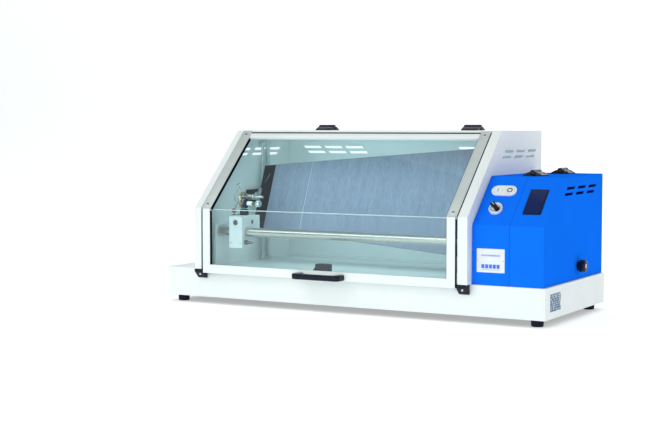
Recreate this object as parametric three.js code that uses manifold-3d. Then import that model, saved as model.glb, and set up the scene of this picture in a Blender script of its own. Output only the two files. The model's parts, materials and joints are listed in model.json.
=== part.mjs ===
// Yarn board winder: a bench machine that winds yarn on a tapered board inside a windowed cabin.
// Millimetres, +Z up. Inside the machine group X runs right from the base's left end, Y runs back
// from the base's front face, and Z runs up from the base's underside. The group is then placed so
// that the origin is under the middle of the whole object, at the bottom of its feet.
import * as THREE from 'three';
import { mergeVertices } from 'three/addons/utils/BufferGeometryUtils.js';
import Module from 'manifold-3d';

const wasm = await Module();
wasm.setup();

// ---- Driving dimensions ----
const GAP = 0.3;
const BASE = { length: 910, depth: 357, height: 64, wall: 2 };
const FOOT = { radius: 13, height: 15, inset: 26 };
const CABIN = {
  left: 89.2, right: 751.6, front: -20, rear: 385, bottom: 64.4, fold: 200.7,
  topFold: 156.2, top: 372.6, sheet: 2, leftLip: 17, rightLip: 21,
};
const LID = {
  left: 110.5, right: 724.8, middle: 417.7, bottom: 56.2, bar: 19, bars: 7,
  railWidth: 24.7, rear: 319, handleLength: 116, handleReach: 30, handleMiddle: 413,
};
const WINDOW = { inset: 8, fold: 196.5, thickness: 4, left: 114, right: 721.5, slopeLength: 226 };
const DRIVE = {
  left: 752.2, seam: 832.7, right: 904.9, front: 2.9, rear: 354, fold: 184.3,
  topFold: 100, top: 279.7, sheet: 2,
};
const HINGE = { half: 20.5, pinHeight: 7.2, knuckle: 6, pin: 2.2, leaf: 5, middle: 9.7 };
const LID_HINGE = { y: 320, places: { left: 236, right: 613 } };
const COVER_HINGE = { places: { front: 143, rear: 303 } };
const BOARD = {
  y: 200, z: 218, tilt: -21.3, left: 119.3, right: 695, leftHalf: 75.9, rightHalf: 126, half: 1.5,
};
const WINDING = { left: 150, right: 668, half: 2.9, rim: 1.3 };
const TRAVERSE = { rodY: 24, screwY: 45, z: 147.5, rodRadius: 10, screwRadius: 6, left: 114 };
const CARRIAGE = {
  left: 165.4, right: 199.4, front: 4, rear: 76, bottom: 112.8, top: 182.8, step: 138, foot: 50,
};
const COLUMN = { x: 98, rods: [250, 274], radius: 4, top: 346 };
const PULLEY = { small: 15, large: 30, motorZ: 118, left: 831, right: 845, belt: 2 };
const VENT = { length: 47, height: 5.5, rowPitch: 12, shift: 12, sidePitch: 66, backPitch: 58 };
const KNOB = { y: 201, z: 92, radius: 13, reach: 18.5, cam: 24 };
const KEEPER = { x: [900.2, 902.5], half: 16, top: 80 };

// ---- Materials ----
const paint = (color, roughness) => new THREE.MeshStandardMaterial({ color, roughness, metalness: 0 });
const metal = (color, roughness) => new THREE.MeshStandardMaterial({ color, roughness, metalness: 1 });
const WHITE = paint(0xeef2f2, 0.5);
const BLUE = paint(0x1664f0, 0.4);
const BLACK = paint(0x1b1e26, 0.5);
const RUBBER = paint(0x141519, 0.8);
const STEEL = metal(0xb9bdbf, 0.25);
const ALUMINIUM = metal(0xc4cac8, 0.45);
const GLASS = new THREE.MeshStandardMaterial({
  color: 0xcfe3e3, roughness: 0.05, metalness: 0, transparent: true, opacity: 0.3,
});
const YARN = paint(0x8aa4c4, 0.9);
const BOARD_BLACK = paint(0x1a2030, 0.6);
const SCREEN = paint(0x182455, 0.15);
const LIGHT_GREY = paint(0xd9dddd, 0.4);

// ---- Solids ----
function toSolid(geometry) {
  const bare = geometry.clone();
  bare.deleteAttribute('normal');
  bare.deleteAttribute('uv');
  const merged = mergeVertices(bare, 1e-4);
  return new wasm.Manifold(new wasm.Mesh({
    numProp: 3,
    vertProperties: new Float32Array(merged.attributes.position.array),
    triVerts: new Uint32Array(merged.index.array),
  }));
}

function toGeometry(solid) {
  const { vertProperties, triVerts } = solid.getMesh();
  const geometry = new THREE.BufferGeometry();
  geometry.setAttribute('position', new THREE.BufferAttribute(vertProperties, 3));
  geometry.setIndex(new THREE.BufferAttribute(triVerts, 1));
  geometry.computeVertexNormals();
  return geometry;
}

const join = (first, ...others) => toGeometry(
  others.reduce((whole, other) => whole.add(toSolid(other)), toSolid(first)),
);
const cut = (body, ...tools) => toGeometry(
  tools.reduce((rest, tool) => rest.subtract(toSolid(tool)), toSolid(body)),
);

function block([x0, x1], [y0, y1], [z0, z1]) {
  const geometry = new THREE.BoxGeometry(x1 - x0, y1 - y0, z1 - z0);
  return geometry.translate((x0 + x1) / 2, (y0 + y1) / 2, (z0 + z1) / 2);
}

// An outline pushed from low to high along one axis. Its points are (y, z) for X, (x, z) for Y and
// (x, y) for Z.
function prism(axis, points, [low, high]) {
  const pairs = axis === 'y' ? points.map(([x, z]) => [z, x]) : points;
  const shape = new THREE.Shape(pairs.map(([a, b]) => new THREE.Vector2(a, b)));
  const geometry = new THREE.ExtrudeGeometry(shape, { depth: high - low, bevelEnabled: false });
  geometry.translate(0, 0, low);
  const [x, y, z] = [new THREE.Vector3(1, 0, 0), new THREE.Vector3(0, 1, 0), new THREE.Vector3(0, 0, 1)];
  const bases = { x: [y, z, x], y: [z, x, y], z: [x, y, z] };
  return geometry.applyMatrix4(new THREE.Matrix4().makeBasis(...bases[axis]));
}

// A round bar along X.
function bar(radius, [x0, x1], y, z, sides = 32) {
  const geometry = new THREE.CylinderGeometry(radius, radius, x1 - x0, sides);
  return geometry.rotateZ(-Math.PI / 2).translate((x0 + x1) / 2, y, z);
}

// A turned piece whose profile points are (radius, x) along the X axis at y, z.
function turnedX(profile, y, z, sides = 32) {
  const points = profile.map(([radius, x]) => new THREE.Vector2(radius, x));
  return new THREE.LatheGeometry(points, sides).rotateZ(-Math.PI / 2).translate(0, y, z);
}

// A stadium outline, its long side along the first coordinate.
function stadium(x, y, halfLength, radius, steps = 12) {
  const points = [];
  for (const [side, start] of [[1, -Math.PI / 2], [-1, Math.PI / 2]]) {
    for (let i = 0; i <= steps; i += 1) {
      const a = start + Math.PI * i / steps;
      points.push([x + side * (halfLength - radius) + radius * Math.cos(a), y + radius * Math.sin(a)]);
    }
  }
  return points;
}

// The path moved to its right by the distance, with mitred corners.
function offsetPath(path, distance) {
  const normals = path.slice(1).map(([y, z], i) => {
    const [dy, dz] = [y - path[i][0], z - path[i][1]];
    const length = Math.hypot(dy, dz);
    return [dz / length, -dy / length];
  });
  return path.map(([y, z], i) => {
    const a = normals[Math.max(i - 1, 0)];
    const b = normals[Math.min(i, normals.length - 1)];
    const scale = distance / (1 + a[0] * b[0] + a[1] * b[1]);
    return [y + (a[0] + b[0]) * scale, z + (a[1] + b[1]) * scale];
  });
}

// The cross section of a folded sheet whose outer face follows the path.
const fold = (path, thickness) => [...path, ...offsetPath(path, thickness).reverse()];

// Slanted ventilation slots in two rows of three, as tools that cut through a wall. They follow each
// other in the direction, and the lower row starts a little behind the upper one.
function ventTools(axis, start, z, pitch, direction, reach) {
  const tools = [];
  for (let row = 0; row < 2; row += 1) {
    for (let i = 0; i < 3; i += 1) {
      const low = start + direction * (i * pitch - row * VENT.shift);
      const high = low + direction * VENT.length;
      const rise = direction * VENT.height;
      const bottom = z - row * VENT.rowPitch;
      const outline = [[low, bottom], [high, bottom], [high + rise, bottom + VENT.height],
        [low + rise, bottom + VENT.height]];
      tools.push(prism(axis, direction > 0 ? outline : outline.reverse(), reach));
    }
  }
  return tools;
}

// ---- Assembly ----
const machine = new THREE.Group();

function add(name, geometry, material, parent = machine) {
  const mesh = new THREE.Mesh(geometry, material);
  mesh.name = name;
  parent.add(mesh);
  return mesh;
}

// The base: a folded tray closed by a bottom plate, on four rubber feet.
function makeBase() {
  const { length, depth, height, wall } = BASE;
  const inlet = { x: [838, 866], z: [20, 44] };
  const hollow = block([wall, length - wall], [wall, depth - wall], [-1, height - wall]);
  const inletHole = block(inlet.x, [depth - 2 * wall, depth + 1], inlet.z);
  const keeper = block(KEEPER.x, [KNOB.y - KEEPER.half, KNOB.y + KEEPER.half], [height - 1, KEEPER.top]);
  const tray = join(block([0, length], [0, depth], [0, height]), keeper);
  add('base_tray', cut(tray, hollow, inletHole), WHITE);
  const lip = wall + GAP;
  const plateLevel = [0.4, 2.4];
  add('base_bottom_plate', block([lip, length - lip], [lip, depth - lip], plateLevel), WHITE);
  const { radius, height: tall, inset } = FOOT;
  const footTop = 0.1;
  const profile = [[0, -tall + 6], [4, -tall + 6], [4, -tall], [radius - 2, -tall], [radius, -tall + 2],
    [radius - 1, footTop], [0, footTop]].map(([r, z]) => new THREE.Vector2(r, z));
  for (const [side, x] of [['left', inset], ['right', length - inset]]) {
    for (const [end, y] of [['front', inset], ['rear', depth - inset]]) {
      const foot = new THREE.LatheGeometry(profile, 28).rotateX(Math.PI / 2);
      add(`${end}_${side}_foot`, foot.translate(x, y, 0), RUBBER);
    }
  }
  const flange = block([832, 872], [depth + GAP, depth + 3], [14, 50]);
  const body = block([838.5, 865.5], [depth - 20, depth + 2], [20.5, 43.5]);
  const socket = block([842, 862], [depth - 14, depth + 4], [24, 40]);
  add('power_inlet', cut(join(flange, body), socket), BLACK);
}

// The front of the cabin: upright to the fold, then slanted back to the top.
const SLOPE = Math.atan2(CABIN.top - CABIN.fold, CABIN.topFold - CABIN.front);
const COS = Math.cos(SLOPE);
const SIN = Math.sin(SLOPE);
const SLANT = Math.hypot(CABIN.topFold - CABIN.front, CABIN.top - CABIN.fold);

// A point on the slant, s up it from the fold and deep below its outer face.
const onSlant = (s, deep) => [CABIN.front + s * COS + deep * SIN, CABIN.fold + s * SIN - deep * COS];

// A bar that lies in the slant, from one distance up it to another.
const slantBar = (s0, s1, deep, x) => prism('x', [onSlant(s0, 0), onSlant(s1, 0), onSlant(s1, deep),
  onSlant(s0 + deep * Math.tan((Math.PI / 2 - SLOPE) / 2), deep)], x);

// The cabin's two folded sides, its back and the fixed rear part of its top.
function makeCabin() {
  const { left, right, front, rear, bottom, fold: bend, topFold, top, sheet, leftLip, rightLip } = CABIN;
  const outline = [[front, bottom], [rear, bottom], [rear, top], [topFold, top], [front, bend]];
  const lipPath = [[front, bottom], [front, bend], [topFold, top], [LID.rear, top]];
  const lip = fold(lipPath, sheet);
  const ventStart = { left: 158, right: 169 };
  const screw = { y: TRAVERSE.screwY, z: TRAVERSE.z };
  const holes = {
    left: [bar(6, [left - 1, left + 4], BOARD.y, BOARD.z)],
    right: [
      bar(7.5, [right - 4, right + 1], BOARD.y, BOARD.z),
      bar(7, [right - 4, right + 1], screw.y, screw.z),
    ],
  };
  const sides = [
    ['left', [left, left + sheet], [left + sheet - 0.5, left + leftLip]],
    ['right', [right - sheet, right], [right - rightLip, right - sheet + 0.5]],
  ];
  for (const [name, wall, lipReach] of sides) {
    const body = join(prism('x', outline, wall), prism('x', lip, lipReach));
    const vents = ventTools('x', ventStart[name], 326, VENT.sidePitch, 1, [wall[0] - 1, wall[1] + 1]);
    add(`cabin_${name}_side`, cut(body, ...vents, ...holes[name]), WHITE);
  }
  const inner = [left + sheet + GAP, right - sheet - GAP];
  const back = join(
    block(inner, [rear - sheet, rear], [bottom, top]),
    block(inner, [BASE.depth + 1.5, rear - sheet + 0.5], [bottom, bottom + sheet]),
  );
  const reach = [rear - sheet - 1, rear + 1];
  const backVents = [301, 716].flatMap((x) => ventTools('y', x, 329, VENT.backPitch, -1, reach));
  add('cabin_back_panel', cut(back, ...backVents), WHITE);
  add('cabin_rear_top', block(inner, [LID.rear + 2, rear - sheet - GAP], [top - sheet, top]), WHITE);
  // Moulded gussets that carry the overhanging front corners.
  const gusset = [[-6, 43.5], [front, 58], [front, bottom - GAP], [-GAP, bottom - GAP], [-GAP, 43.5]];
  for (const [name, x] of [['left', [88, 109.8]], ['right', [727.5, 749.3]]]) {
    const middle = (x[0] + x[1]) / 2;
    const bolt = new THREE.CylinderGeometry(3, 3, 40, 20).translate(middle, -10, 53);
    add(`${name}_corner_bracket`, cut(prism('x', gusset, x), bolt), BLACK);
  }
}

// One plastic hinge. Its pin lies along the local X axis, the moving leaf towards -Y and the fixed
// leaf towards +Y, both resting GAP above the surface.
function makeHinge(name, place, turn, leafMaterial) {
  const { half, pinHeight, knuckle, pin, leaf, middle } = HINGE;
  const group = new THREE.Group();
  group.position.set(...place);
  group.rotation.z = turn;
  machine.add(group);
  const level = [-pinHeight + GAP, -pinHeight + GAP + leaf];
  const clear = knuckle + 0.6;
  const plate = [[-half, -half], [half, -half], [half, -clear], [-half, -clear]];
  const tongue = block([-middle, middle], [-clear - 1, 0], level);
  const bore = bar(pin + GAP, [-half, half], 0, 0, 20);
  const round = bar(knuckle, [-middle, middle], 0, 0);
  add(`${name}_leaf`, cut(join(prism('z', plate, level), tongue, round), bore), leafMaterial, group);
  const fixedPlate = plate.map(([x, y]) => [-x, -y]);
  const ends = [[-half, -middle - GAP], [middle + GAP, half]];
  const parts = ends.flatMap((x) => [bar(knuckle, x, 0, 0), block(x, [0, clear + 1], level)]);
  const pinBar = bar(pin, [-half + 1, half - 1], 0, 0, 20);
  add(`${name}_base`, join(prism('z', fixedPlate, level), ...parts, pinBar), leafMaterial, group);
}

// The lid: a U-shaped lower frame, two grey rails up the slant, a cross bar, the sheet that reaches
// back to the hinges, one bent window pane and a bridge handle.
function makeLid() {
  const { left, right, middle, bottom, bar: width, bars: deep, railWidth, rear } = LID;
  const front = CABIN.front;
  const mitre = deep * Math.tan((Math.PI / 2 - SLOPE) / 2);
  const post = [[front, bottom], [front + deep, bottom], [front + deep, CABIN.fold - mitre - GAP],
    [front, CABIN.fold - GAP]];
  add('lid_lower_frame', join(
    prism('x', post, [left, left + width]),
    prism('x', post, [right - width, right]),
    block([left, right], [front, front + deep], [bottom, bottom + width]),
  ), WHITE);
  const railLeft = [106.8, 106.8 + railWidth];
  const railRight = [729.8 - railWidth, 729.8];
  const railEnd = SLANT - 2;
  add('lid_left_rail', slantBar(GAP, railEnd, deep, railLeft), ALUMINIUM);
  add('lid_right_rail', slantBar(GAP, railEnd, deep, railRight), ALUMINIUM);
  const between = [railLeft[1] + GAP, railRight[0] - GAP];
  const square = [[223.5, 0], [236.9, 0], [236.9, deep], [223.5, deep]].map(([s, d]) => onSlant(s, d));
  add('lid_top_bar', prism('x', square, between), WHITE);
  const topPath = [onSlant(239.6, 0), [CABIN.topFold, CABIN.top], [rear, CABIN.top]];
  add('lid_top_panel', join(
    prism('x', fold(topPath, CABIN.sheet), between),
    block([107.2, 729.4], [CABIN.topFold + 0.8, rear], [CABIN.top - CABIN.sheet, CABIN.top]),
  ), WHITE);
  const pane = { front: front + WINDOW.inset, ...WINDOW };
  const end = [pane.front + pane.slopeLength * COS, pane.fold + pane.slopeLength * SIN];
  const panePath = [[pane.front, bottom + 4], [pane.front, pane.fold], end];
  add('lid_window', prism('x', fold(panePath, pane.thickness), [pane.left, pane.right]), GLASS);
  // Bridge handle: an outline seen from above, with the finger gap behind its grip.
  const half = LID.handleLength / 2;
  const foot = front - GAP;
  const tip = front - LID.handleReach;
  const handle = [[-half, foot], [-half, tip + 8], [-half + 8, tip], [half - 8, tip],
    [half, tip + 8], [half, foot], [half - 16, foot], [half - 22, tip + 11],
    [-half + 22, tip + 11], [-half + 16, foot]].map(([x, y]) => [x + LID.handleMiddle, y]);
  add('lid_handle', prism('z', handle, [58, 70]), BLACK);
  for (const [side, x] of Object.entries(LID_HINGE.places)) {
    makeHinge(`lid_hinge_${side}`, [x, LID_HINGE.y, CABIN.top + HINGE.pinHeight], 0, BLACK);
  }
  add('lid_switch', block([386, 418.5], [3, 21], [BASE.height + GAP, 87.5]), BLACK);
}

// The blue drive housing and the side cover that swings up from the seam on its top.
const drivePath = [[DRIVE.front, 64.4], [DRIVE.front, DRIVE.fold], [DRIVE.topFold, DRIVE.top],
  [DRIVE.rear, DRIVE.top], [DRIVE.rear, 64.4]];

function makeHousing() {
  const { left, seam, right, sheet, top } = DRIVE;
  const skin = fold(drivePath, sheet);
  add('drive_housing', prism('x', skin, [left, seam - GAP]), BLUE);
  const outline = [...drivePath].reverse();
  const cover = join(
    prism('x', skin, [seam + GAP, right - 1]),
    prism('x', outline, [right - sheet, right]),
  );
  const vents = ventTools('x', 128, 253, VENT.sidePitch, 1, [right - sheet - 1, right + 1]);
  const knobHole = bar(4.5, [right - sheet - 1, right + 1], KNOB.y, KNOB.z);
  add('side_cover', cut(cover, ...vents, knobHole), BLUE);
  for (const [end, y] of Object.entries(COVER_HINGE.places)) {
    makeHinge(`cover_hinge_${end}`, [seam, y, top + HINGE.pinHeight], Math.PI / 2, BLACK);
  }
  // Quarter-turn lock: knob outside, stem through the cover, and a cam bar inside that turns down
  // behind the keeper tab on the base.
  const face = right + GAP;
  const tip = right + KNOB.reach;
  const knob = turnedX([[0, face], [9, face], [KNOB.radius, face + 4], [KNOB.radius, tip - 4],
    [KNOB.radius - 3, tip], [0, tip]], KNOB.y, KNOB.z);
  const stem = bar(4, [right - 10, face + 1], KNOB.y, KNOB.z, 24);
  const cam = block([right - 9, right - 5], [KNOB.y - 7, KNOB.y + KNOB.cam], [KNOB.z - 6, KNOB.z + 6]);
  add('cover_lock_knob', join(knob, stem, cam), BLACK);
  add('name_plate', block([763, 823], [DRIVE.front - GAP - 1, DRIVE.front - GAP], [90, 137.7]), LIGHT_GREY);
}

// Controls on the slanted fascia: local X right, local Y up the slope, local Z out of the panel.
function makeControls() {
  const fascia = new THREE.Group();
  fascia.position.set(0, DRIVE.front, DRIVE.fold);
  fascia.rotation.x = Math.atan2(DRIVE.top - DRIVE.fold, DRIVE.topFold - DRIVE.front);
  machine.add(fascia);
  const pair = { x: 794, y: 93, offset: 12.8, radius: 9.5 };
  const disc = (x, y, r, z, sides = 32) => new THREE.CylinderGeometry(r, r, z[1] - z[0], sides)
    .rotateX(Math.PI / 2).translate(x, y, (z[0] + z[1]) / 2);
  const wells = [-1, 1].map((s) => disc(pair.x + s * pair.offset, pair.y, pair.radius + GAP, [-1, 6]));
  const bezel = prism('z', stadium(pair.x, pair.y, 27, 13), [GAP, 4.2]);
  add('switch_bezel', cut(bezel, ...wells), LIGHT_GREY, fascia);
  for (const [name, side] of [['start_button', -1], ['stop_button', 1]]) {
    add(name, disc(pair.x + side * pair.offset, pair.y, pair.radius, [3.1, 5]), LIGHT_GREY, fascia);
  }
  const dial = { x: 790.8, y: 43, ring: 14.5, bore: 9.3, plug: 9 };
  const ring = cut(disc(dial.x, dial.y, dial.ring, [GAP, 7]), disc(dial.x, dial.y, dial.bore, [-1, 8]));
  add('selector_ring', ring, STEEL, fascia);
  const handle = new THREE.BoxGeometry(9.5, 26, 9).rotateZ(Math.PI / 4).translate(dial.x, dial.y, 12);
  add('selector_lever', join(disc(dial.x, dial.y, dial.plug, [GAP, 8]), handle), BLACK, fascia);
  add('display_panel', block([850, 888.5], [32, 100], [GAP, 2.3]), SCREEN, fascia);
}

// The drive inside the housing: geared motor, toothed belt, board shaft and traverse motor.
function makeDrive() {
  const { left, right, small, large, motorZ, belt } = PULLEY;
  const shaftHole = bar(8, [820, 828], BOARD.y, BOARD.z);
  const motorHole = bar(7, [820, 828], BOARD.y, motorZ);
  const plate = [[14, 64.4], [330, 64.4], [330, 262], [96, 262], [14, 184]];
  add('drive_plate', cut(prism('x', plate, [822, 826]), shaftHole, motorHole), ALUMINIUM);
  add('board_motor', join(
    bar(36, [764, 821.7], BOARD.y, motorZ, 40),
    bar(5, [821, right], BOARD.y, motorZ, 24),
  ), BLACK);
  add('motor_pulley', cut(
    bar(small, [left, right], BOARD.y, motorZ),
    bar(5 + GAP, [left - 1, right + 1], BOARD.y, motorZ, 24),
  ), ALUMINIUM);
  add('shaft_pulley', cut(
    bar(large, [left, right], BOARD.y, BOARD.z, 40),
    bar(6 + GAP, [left - 1, right + 1], BOARD.y, BOARD.z, 24),
  ), ALUMINIUM);
  add('board_shaft', bar(6, [703, right + 1], BOARD.y, BOARD.z, 24), STEEL);
  add('drive_belt', cut(
    prism('x', beltLoop(small + GAP + belt, large + GAP + belt), [left + 1, right - 1]),
    prism('x', beltLoop(small + GAP, large + GAP), [left, right]),
  ), RUBBER);
  const bearingFace = CABIN.right + GAP;
  add('shaft_bearing', cut(
    join(bar(26, [bearingFace, bearingFace + 5], BOARD.y, BOARD.z),
      bar(18, [bearingFace, bearingFace + 14], BOARD.y, BOARD.z)),
    bar(6 + GAP, [bearingFace - 1, bearingFace + 15], BOARD.y, BOARD.z),
  ), STEEL);
  const half = 28;
  const { screwY: y, z } = TRAVERSE;
  add('traverse_motor', block([bearingFace + 0.2, 808], [y - half, y + half], [z - half, z + half]), BLACK);
}

// The outline of a belt round the small pulley below and the large pulley above, as (y, z) points.
function beltLoop(smallRadius, largeRadius, steps = 16) {
  const lean = Math.asin((largeRadius - smallRadius) / (BOARD.z - PULLEY.motorZ));
  const points = [];
  const arc = (z, radius, from, to) => {
    for (let i = 0; i <= steps; i += 1) {
      const a = from + (to - from) * i / steps;
      points.push([BOARD.y + radius * Math.cos(a), z + radius * Math.sin(a)]);
    }
  };
  arc(BOARD.z, largeRadius, -lean, Math.PI + lean);
  arc(PULLEY.motorZ, smallRadius, Math.PI + lean, 2 * Math.PI - lean);
  return points;
}

// The board and what turns with it, in a group on the spindle axis: local Z runs up the board.
const spindle = new THREE.Group();
spindle.position.set(0, BOARD.y, BOARD.z);
spindle.rotation.x = THREE.MathUtils.degToRad(BOARD.tilt);
machine.add(spindle);

const boardHalf = (x) => BOARD.leftHalf
  + (BOARD.rightHalf - BOARD.leftHalf) * (x - BOARD.left) / (BOARD.right - BOARD.left);

// A tapered slab from one x to another, wider than the board by the rim on each edge.
const taper = (x0, x1, rim, half) => prism('y', [[x0, -boardHalf(x0) - rim], [x1, -boardHalf(x1) - rim],
  [x1, boardHalf(x1) + rim], [x0, boardHalf(x0) + rim]].reverse(), [-half, half]);

function makeBoard() {
  const { left, right, half } = BOARD;
  const slot = half + GAP;
  add('yarn_board', taper(left, right, 0, half), BOARD_BLACK, spindle);
  add('yarn_winding', cut(
    taper(WINDING.left, WINDING.right, WINDING.rim, WINDING.half),
    taper(WINDING.left - 1, WINDING.right + 1, GAP, slot),
  ), YARN, spindle);
  add('board_clamp', cut(
    join(bar(16, [697, 712], 0, 0), block([683, 698], [-7, 7], [-35, 35])),
    block([680, right + GAP], [-slot, slot], [-40, 40]),
    bar(6 + GAP, [702, 713], 0, 0, 24),
  ), ALUMINIUM, spindle);
  add('tail_clamp', cut(
    join(bar(10, [112, 119], 0, 0), block([118, 127], [-6, 6], [-18, 18])),
    block([left - GAP, 130], [-slot, slot], [-20, 20]),
    bar(5 + GAP, [111, 117.3], 0, 0, 24),
  ), ALUMINIUM, spindle);
}

// The tailstock: two upright rods with a bearing block, and a plunger pulled from outside.
function makeTailstock() {
  const { x, rods, radius, top } = COLUMN;
  const width = [x - radius - 0.5, x + radius];
  const reach = [rods[0] - radius - 4, rods[1] + radius + 4];
  const floor = BASE.height + GAP;
  const upright = (y) => new THREE.CylinderGeometry(radius, radius, top - floor - 2, 24)
    .rotateX(Math.PI / 2).translate(x, y, (top + floor) / 2);
  const column = join(
    block(width, [BOARD.y - 16, reach[1]], [BOARD.z - 15, BOARD.z + 15]),
    ...rods.map(upright),
    block(width, reach, [floor, floor + 6]),
    block(width, reach, [top - 8, top]),
  );
  const bore = bar(5 + GAP, [x - 8, x + 8], BOARD.y, BOARD.z, 24);
  add('tailstock_column', cut(column, bore), STEEL);
  add('tail_plunger', join(
    bar(5, [80, 117], BOARD.y, BOARD.z, 24),
    turnedX([[0, 62], [11, 62], [14, 65], [14, 76], [8, 80], [0, 80.5]], BOARD.y, BOARD.z),
  ), BLACK);
}

// The traverse: fixed guide rod, screw behind it, and the carriage with its yarn tensioner.
function makeTraverse() {
  const { rodY, screwY, z, rodRadius, screwRadius, left } = TRAVERSE;
  add('guide_rod', bar(rodRadius, [left, CABIN.right - CABIN.sheet - GAP], rodY, z, 40), STEEL);
  add('traverse_screw', bar(screwRadius, [left, CABIN.right - GAP], screwY, z, 24), STEEL);
  add('rod_left_bracket', cut(
    block([118, 127], [8, 62], [BASE.height + GAP, 164]),
    bar(rodRadius + GAP, [117, 128], rodY, z, 40),
    bar(screwRadius + GAP, [117, 128], screwY, z, 24),
  ), WHITE);
  const c = CARRIAGE;
  const reach = [c.left - 1, c.right + 1];
  const pocket = new THREE.CylinderGeometry(6.5, 6.5, 12, 28).translate(181.5, c.front, 169);
  const socket = bar(5.5, [c.right - 5, c.right + 1], 46, 169, 6);
  add('carriage_block', cut(
    join(
      block([c.left, c.right], [c.front, c.rear], [c.step, c.top]),
      block([c.left, c.right], [c.front, c.foot], [c.bottom, c.step + 1]),
    ),
    bar(rodRadius + GAP, reach, rodY, z, 40),
    bar(screwRadius + GAP, reach, screwY, z, 24),
    pocket,
    socket,
  ), LIGHT_GREY);
  const lower = { y: 48, z: 209.6 };
  const upper = { y: 60, z: 224.2 };
  add('tensioner_bracket', join(
    block([167, 181], [44, 60], [c.top + GAP, 196.5]),
    block([169, 172], [46, 62], [194, 206]),
    bar(18.4, [169, 172], 54, 217, 36),
    bar(2.5, [171, 216], lower.y, lower.z, 20),
    bar(4.8, [185.5, 198], lower.y, lower.z, 24),
    bar(6.2, [171, 197], upper.y, upper.z, 28),
    bar(3.2, [196, 219], upper.y, upper.z, 24),
  ), STEEL);
  add('tension_disc', cut(
    turnedX([[0, 181.7], [8.4, 181.7], [11.5, 180.7], [11.5, 182.2], [8.4, 185], [0, 185]], lower.y, lower.z),
    bar(2.8, [180, 186], lower.y, lower.z, 20),
  ), BLACK);
  add('tension_knob', cut(
    turnedX([[0, 208], [6.4, 208], [7.3, 209], [7.3, 218], [6.4, 219], [0, 219]], lower.y, lower.z),
    bar(2.8, [207, 216.3], lower.y, lower.z, 20),
  ), STEEL);
}

makeBase();
makeCabin();
makeLid();
makeHousing();
makeControls();
makeDrive();
makeBoard();
makeTailstock();
makeTraverse();

// Put the origin under the middle of the whole object, at the bottom of the feet.
const span = {
  x: [0, DRIVE.right + KNOB.reach],
  y: [CABIN.front - LID.handleReach, CABIN.rear],
};
machine.position.set(-(span.x[0] + span.x[1]) / 2, -(span.y[0] + span.y[1]) / 2, FOOT.height);

const winder = new THREE.Group();
winder.add(machine);
winder.updateMatrixWorld(true);

export default winder;
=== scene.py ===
import json
import random
from math import atan2, cos, hypot, pi, radians, sin, tan, tanh, tau

import bmesh
import bpy
from mathutils import Matrix, Vector


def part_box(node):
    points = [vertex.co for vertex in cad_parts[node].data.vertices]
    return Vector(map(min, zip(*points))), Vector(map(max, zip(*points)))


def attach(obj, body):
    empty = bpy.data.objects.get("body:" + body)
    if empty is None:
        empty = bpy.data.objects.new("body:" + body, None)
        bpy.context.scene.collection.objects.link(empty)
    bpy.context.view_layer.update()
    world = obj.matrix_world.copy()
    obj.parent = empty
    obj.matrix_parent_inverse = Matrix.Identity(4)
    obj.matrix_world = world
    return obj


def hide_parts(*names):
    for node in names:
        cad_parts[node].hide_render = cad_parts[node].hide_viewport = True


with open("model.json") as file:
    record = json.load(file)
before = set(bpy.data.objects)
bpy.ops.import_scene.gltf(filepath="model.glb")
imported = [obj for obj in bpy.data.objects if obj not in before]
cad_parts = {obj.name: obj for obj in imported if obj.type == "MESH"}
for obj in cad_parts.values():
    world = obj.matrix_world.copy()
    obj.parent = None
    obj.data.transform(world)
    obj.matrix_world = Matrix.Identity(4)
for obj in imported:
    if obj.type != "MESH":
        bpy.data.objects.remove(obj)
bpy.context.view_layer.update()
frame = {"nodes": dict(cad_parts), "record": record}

# ---- Driving dimensions, as in the part's source ----
MM = 0.001
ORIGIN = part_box("base_tray")[0]
BODY_OF = {n: b for b, nodes in frame["record"]["behaviour"]["bodies"].items() for n in nodes}
# Each node's box, in machine millimetres.
BOX = {n: [(corner - ORIGIN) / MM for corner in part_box(n)] for n in frame["nodes"]}
CABIN_FRONT, CABIN_FOLD, TOP_FOLD, CABIN_TOP = -20.0, 200.7, 156.2, 372.6
SLOPE = atan2(CABIN_TOP - CABIN_FOLD, TOP_FOLD - CABIN_FRONT)
DRIVE_FRONT, DRIVE_FOLD, DRIVE_TOP_FOLD, DRIVE_TOP = 2.9, 184.3, 100.0, 279.7
FASCIA_SLOPE = atan2(DRIVE_TOP - DRIVE_FOLD, DRIVE_TOP_FOLD - DRIVE_FRONT)
BOARD_Y, BOARD_Z, BOARD_TILT = 200.0, 218.0, radians(-21.3)
MOTOR_Z = 118.0
ROD_Y, SCREW_Y, TRAVERSE_Z = 24.0, 45.0, 147.5
LOCK_Y, LOCK_Z = 201.0, 92.0
WINDOW_FOLD, WINDOW_THICKNESS = 196.5, 4.0
WINDING_START, WINDING_END = 150.0, 668.0
HOLE_Z = 169.0
PRINT_LAYER = (1.32, 1.42)


# ---- Frames: a matrix whose columns are local x, y, z and the origin, in machine millimetres ----
def axes(origin, x, y, z):
    rows = [[x[i], y[i], z[i], origin[i]] for i in range(3)] + [[0, 0, 0, 1]]
    return Matrix(rows)


def leaning(origin, slope):
    """Local x along X, local y up a slope that faces the front, local z out of it."""
    c, s = cos(slope), sin(slope)
    return axes(origin, (1, 0, 0), (0, c, s), (0, -s, c))


UPRIGHT = Matrix.Identity(4)
SLANT = leaning((0, CABIN_FRONT, CABIN_FOLD), SLOPE)
FASCIA = leaning((0, DRIVE_FRONT, DRIVE_FOLD), FASCIA_SLOPE)
SPINDLE = Matrix.Translation((0, BOARD_Y, BOARD_Z)) @ Matrix.Rotation(BOARD_TILT, 4, "X")


def facing(origin, direction):
    """Local z along the direction, local x and y across it."""
    z = Vector(direction).normalized()
    side = Vector((0, 0, 1)) if abs(z.z) < 0.9 else Vector((0, 1, 0))
    x = side.cross(z).normalized()
    return axes(origin, x, z.cross(x), z)


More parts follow.
